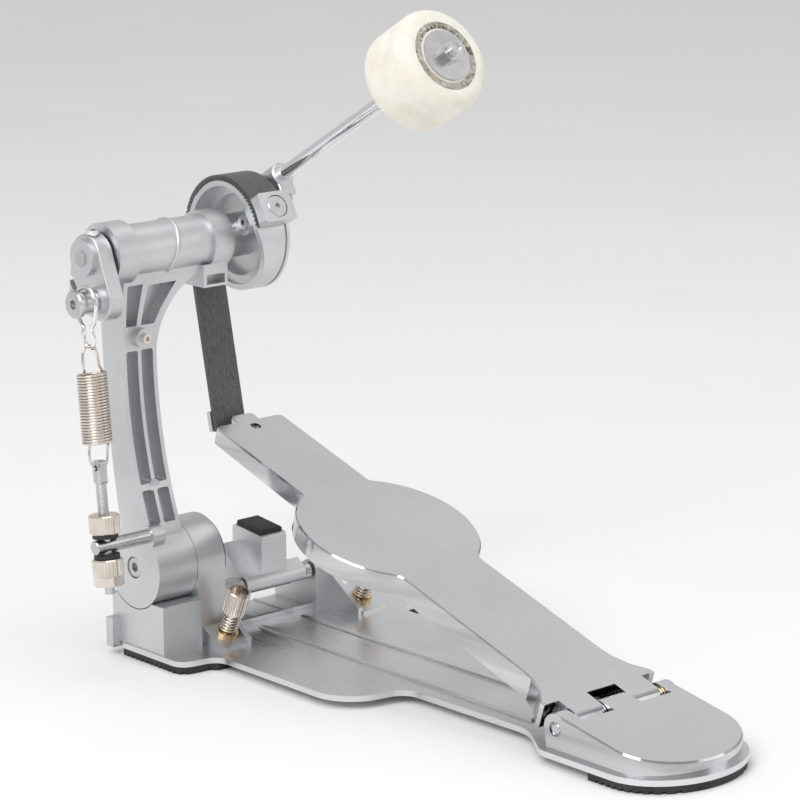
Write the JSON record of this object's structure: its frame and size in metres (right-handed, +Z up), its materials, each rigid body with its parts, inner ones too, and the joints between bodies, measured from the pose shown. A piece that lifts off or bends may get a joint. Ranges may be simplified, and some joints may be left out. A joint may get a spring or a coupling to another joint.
{
  "type": "bass drum pedal",
  "caption": "Single bass drum pedal: long footboard on a flat base, folding side post with belt-driven wheel, felt beater, return spring and hoop clamp.",
  "frame": {"origin": "on the floor at the middle of the front rubber foot, in the pedal's centre plane", "axes": "+X to the player's right along the axle, +Y towards the drum, +Z up"},
  "size_m": [0.2207, 0.41, 0.367],
  "materials": {
    "casting": "satin blasted casting",
    "board": "brushed with polished edges",
    "plate": "fine satin",
    "chrome": "polished chrome",
    "nickel": "warm nickel plating",
    "steel": "zinc plated",
    "brass": "polished brass",
    "rubber": "matte black",
    "belt": "matte black toothed belt",
    "felt": "dense cream felt",
    "black": "black"
  },
  "bodies": {
    "base": {"base_plate": "plate", "front_foot": "rubber", "heel_foot": "rubber", "heel_plate": "board", "heel_pin": "steel", "hinge_washers": "brass", "heel_screws": "steel", "bridge_screws": "steel", "bridge": "casting", "lever_pin": "steel", "clamp_springs": "steel", "spur_collars": "brass", "fold_bolt": "steel", "hinge_cap": "black", "spur_spring_left": "nickel", "spur_spring_right": "nickel"},
    "footboard": {"footboard": "board", "board_screw": "steel"},
    "clamp": {"clamp_lever": "casting", "clamp_pad": "rubber", "jaw_pad": "rubber"},
    "spur_left": {"spur_left": "nickel"},
    "spur_right": {"spur_right": "nickel"},
    "post": {"post": "casting", "post_pin": "nickel", "arm_bar": "steel", "bearing_left": "steel", "bearing_right": "steel"},
    "wheel": {"axle": "steel", "cam_wheel": "casting", "belt_wrap": "belt", "belt_clamp": "casting", "belt_clamp_screw": "steel", "beater_holder": "casting", "key_screw": "nickel", "rocker": "casting", "rocker_screw": "chrome", "roller_bolt": "steel"},
    "beater": {"beater_shaft": "chrome", "beater_felt": "felt", "beater_washers": "steel", "beater_nut": "steel"},
    "roller": {"roller": "steel"},
    "spring_rod": {"spring_rod": "steel", "spring_foot": "nickel", "spring_coil": "nickel", "rubber_washers": "rubber"},
    "spring_link": {"spring_link": "chrome", "spring_hook": "nickel"},
    "lock_nut": {"lock_nut": "nickel"},
    "tension_nut": {"tension_nut": "nickel"},
    "belt_strap": {"belt_strap": "belt", "strap_clamp": "steel"},
    "belt_segment_1": {"belt_segment_1": "belt"},
    "belt_segment_2": {"belt_segment_2": "belt"},
    "belt_segment_3": {"belt_segment_3": "belt"},
    "belt_segment_4": {"belt_segment_4": "belt"},
    "belt_segment_5": {"belt_segment_5": "belt"}
  },
  "joints": [
    {"name": "footboard_hinge", "type": "hinge", "parent": "base", "child": "footboard", "pos_m": [0, -0.26997, 0.0197], "axis": [-1, 0, 0], "range_deg": [0, 6.2], "stiffness_Nm_per_rad": 20, "springref_deg": -4.98},
    {"name": "axle_hinge", "type": "hinge", "parent": "post", "child": "wheel", "pos_m": [0, 0.028, 0.2315], "axis": [-1, 0, 0], "range_deg": [0, 54.7]},
    {"name": "belt_bend_1", "type": "hinge", "parent": "wheel", "child": "belt_segment_1", "pos_m": [0, 0.05417, 0.25242], "axis": [1, 0, 0], "range_deg": [0, 11]},
    {"name": "belt_bend_2", "type": "hinge", "parent": "belt_segment_1", "child": "belt_segment_2", "pos_m": [0, 0.05742, 0.24753], "axis": [1, 0, 0], "range_deg": [0, 11]},
    {"name": "belt_bend_3", "type": "hinge", "parent": "belt_segment_2", "child": "belt_segment_3", "pos_m": [0, 0.05977, 0.24214], "axis": [1, 0, 0], "range_deg": [0, 11]},
    {"name": "belt_bend_4", "type": "hinge", "parent": "belt_segment_3", "child": "belt_segment_4", "pos_m": [0, 0.06114, 0.23643], "axis": [1, 0, 0], "range_deg": [0, 11]},
    {"name": "belt_bend_5", "type": "hinge", "parent": "belt_segment_4", "child": "belt_segment_5", "pos_m": [0, 0.06149, 0.23056], "axis": [1, 0, 0], "range_deg": [0, 11]},
    {"name": "strap_swing", "type": "hinge", "parent": "footboard", "child": "belt_strap", "pos_m": [0, 0.0395, 0.12154], "axis": [1, 0, 0], "range_deg": [0, 12.9]},
    {"name": "spring_swing", "type": "hinge", "parent": "post", "child": "spring_rod", "pos_m": [-0.12, 0.003, 0.075], "axis": [1, 0, 0], "range_deg": [-0.2, 6]},
    {"name": "spring_stretch", "type": "slide", "parent": "spring_rod", "child": "spring_link", "axis": [0, 0.0961, 0.9954], "range_m": [0, 0.0168], "deforming": ["spring_coil"]},
    {"name": "lock_nut_spin", "type": "hinge", "parent": "spring_rod", "child": "lock_nut", "pos_m": [-0.12, 0.003, 0.075], "axis": [0, 0.0961, 0.9954], "continuous": true},
    {"name": "tension_nut_spin", "type": "hinge", "parent": "spring_rod", "child": "tension_nut", "pos_m": [-0.12, 0.003, 0.075], "axis": [0, 0.0961, 0.9954], "continuous": true},
    {"name": "roller_spin", "type": "hinge", "parent": "wheel", "child": "roller", "pos_m": [-0.12, 0.0175, 0.209], "axis": [1, 0, 0], "continuous": true},
    {"name": "beater_height", "type": "slide", "parent": "wheel", "child": "beater", "axis": [0, -0.866, 0.5], "range_m": [-0.01, 0.03]},
    {"name": "post_fold", "type": "hinge", "parent": "base", "child": "post", "pos_m": [-0.0775, 0.017, 0.0538], "axis": [1, 0, 0], "range_deg": [0, 50]},
    {"name": "hoop_clamp", "type": "hinge", "parent": "base", "child": "clamp", "pos_m": [0, 0.0065, 0.0315], "axis": [1, 0, 0], "range_deg": [0, 12], "stiffness_Nm_per_rad": 0.6, "springref_deg": -20.05},
    {"name": "spur_left_reach", "type": "slide", "parent": "base", "child": "spur_left", "axis": [0, 0.4067, -0.9135], "range_m": [0, 0.008], "deforming": ["spur_spring_left"]},
    {"name": "spur_right_reach", "type": "slide", "parent": "base", "child": "spur_right", "axis": [0, 0.4067, -0.9135], "range_m": [0, 0.008], "deforming": ["spur_spring_right"]}
  ],
  "couplings": [
    {"joint": "axle_hinge", "follows": "footboard_hinge", "ratio": 8.798},
    {"joint": "belt_bend_1", "follows": "footboard_hinge", "ratio": 1.755},
    {"joint": "belt_bend_2", "follows": "footboard_hinge", "ratio": 1.755},
    {"joint": "belt_bend_3", "follows": "footboard_hinge", "ratio": 1.755},
    {"joint": "belt_bend_4", "follows": "footboard_hinge", "ratio": 1.755},
    {"joint": "belt_bend_5", "follows": "footboard_hinge", "ratio": 1.755},
    {"joint": "strap_swing", "follows": "footboard_hinge", "ratio": 2.058},
    {"joint": "spring_swing", "follows": "footboard_hinge", "ratio": 0.936},
    {"joint": "spring_stretch", "follows": "footboard_hinge", "m_per_rad": 0.15328}
  ]
}
